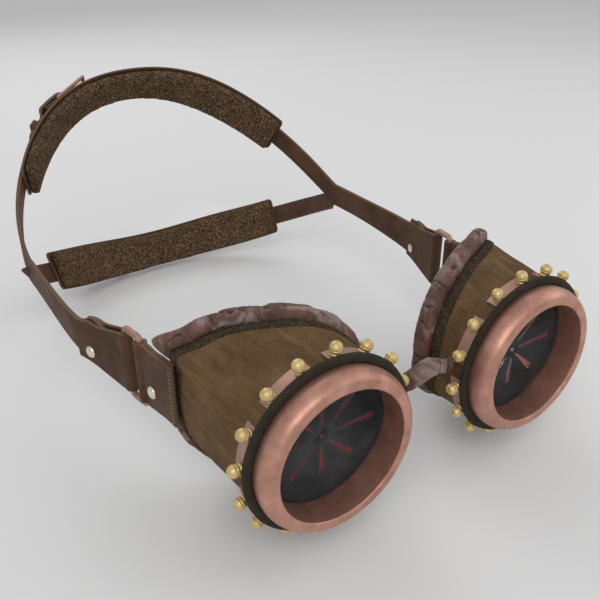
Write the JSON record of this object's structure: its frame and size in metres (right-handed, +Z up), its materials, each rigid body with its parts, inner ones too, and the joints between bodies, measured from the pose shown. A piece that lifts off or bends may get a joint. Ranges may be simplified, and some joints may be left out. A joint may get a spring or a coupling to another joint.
{
  "type": "steampunk goggles",
  "caption": "Round-lens riveted leather goggles with copper screw bezels, wire side links and a two-branch buckled headband with felt pads",
  "frame": {"origin": "middle of the goggles' outline in x and y, on the plane their lowest pad edge rests on", "axes": "X to the wearer's left, Y to the back of the wearer's head, Z up"},
  "size_m": [0.176, 0.2614, 0.1117],
  "materials": {
    "copper": "satin copper",
    "clip_copper": "dusty copper",
    "pale_brass": "polished pale brass",
    "dark_metal": "blackened",
    "lens_glass": "clear, faintly grey",
    "red_film": "red filter",
    "cup_suede": "suede",
    "roll_leather": "crumpled",
    "strap_leather": "worn, dark",
    "dark_felt": "felt",
    "pad_felt": "speckled felt"
  },
  "bodies": {
    "headband": {"right_strap": "strap_leather", "left_strap": "strap_leather", "right_strap_tab": "strap_leather", "left_strap_tab": "strap_leather", "right_strap_tab_rivet": "pale_brass", "left_strap_tab_rivet": "pale_brass", "upper_pad": "pad_felt", "lower_pad": "pad_felt", "upper_pad_backing": "strap_leather", "lower_pad_backing": "strap_leather", "upper_buckle": "clip_copper", "lower_buckle": "clip_copper", "upper_keeper": "strap_leather", "lower_keeper": "strap_leather"},
    "right_link_body": {"right_link": "clip_copper"},
    "right_cup": {"right_cup_shell": "cup_suede", "right_lens_tube": "copper", "right_gasket": "dark_felt", "right_lens": "lens_glass", "right_slot_plate": "dark_metal", "right_red_filter": "red_film", "right_clips": "clip_copper", "right_clip_rivets": "pale_brass", "right_seam_band": "dark_felt", "right_face_roll": "roll_leather", "right_cup_tab": "strap_leather", "right_cup_tab_rivet": "pale_brass", "right_bridge": "roll_leather"},
    "right_bezel_body": {"right_bezel": "copper"},
    "left_link_body": {"left_link": "clip_copper"},
    "left_cup": {"left_cup_shell": "cup_suede", "left_lens_tube": "copper", "left_gasket": "dark_felt", "left_lens": "lens_glass", "left_slot_plate": "dark_metal", "left_red_filter": "red_film", "left_clips": "clip_copper", "left_clip_rivets": "pale_brass", "left_seam_band": "dark_felt", "left_face_roll": "roll_leather", "left_cup_tab": "strap_leather", "left_cup_tab_rivet": "pale_brass", "left_bridge": "roll_leather"},
    "left_bezel_body": {"left_bezel": "copper"},
    "upper_prong_body": {"upper_prong": "clip_copper"},
    "lower_prong_body": {"lower_prong": "clip_copper"}
  },
  "joints": [
    {"name": "right_link_swing", "type": "hinge", "parent": "headband", "child": "right_link_body", "pos_m": [-0.0754, -0.0439, 0.04089], "axis": [0, 0, 1], "range_deg": [-15, 15]},
    {"name": "right_cup_turn", "type": "hinge", "parent": "right_link_body", "child": "right_cup", "pos_m": [-0.0739, -0.05348, 0.04089], "axis": [0, 0, 1], "range_deg": [-17.5, 17.5]},
    {"name": "right_bezel_turn", "type": "hinge", "parent": "right_cup", "child": "right_bezel_body", "pos_m": [-0.043, -0.12508, 0.04089], "axis": [0, -1, 0], "continuous": true},
    {"name": "left_link_swing", "type": "hinge", "parent": "headband", "child": "left_link_body", "pos_m": [0.0754, -0.0439, 0.04089], "axis": [0, 0, 1], "range_deg": [-15.2, 15.2]},
    {"name": "left_cup_turn", "type": "hinge", "parent": "left_link_body", "child": "left_cup", "pos_m": [0.0739, -0.05348, 0.04089], "axis": [0, 0, 1], "range_deg": [-17.5, 17.5]},
    {"name": "left_bezel_turn", "type": "hinge", "parent": "left_cup", "child": "left_bezel_body", "pos_m": [0.043, -0.12508, 0.04089], "axis": [0, -1, 0], "continuous": true},
    {"name": "upper_prong_hinge", "type": "hinge", "parent": "headband", "child": "upper_prong_body", "pos_m": [-0.03994, 0.11849, 0.09522], "axis": [-0.1115, -0.535, 0.8375], "range_deg": [0, 30]},
    {"name": "lower_prong_hinge", "type": "hinge", "parent": "headband", "child": "lower_prong_body", "pos_m": [-0.03964, 0.10375, 0.01289], "axis": [0.0535, 0.3289, 0.9428], "range_deg": [0, 30]}
  ],
  "couplings": [
    {"joint": "right_cup_turn", "follows": "right_link_swing", "ratio": -1.1383},
    {"joint": "left_link_swing", "follows": "right_link_swing", "ratio": -1},
    {"joint": "left_cup_turn", "follows": "right_link_swing", "ratio": 1.1383}
  ]
}
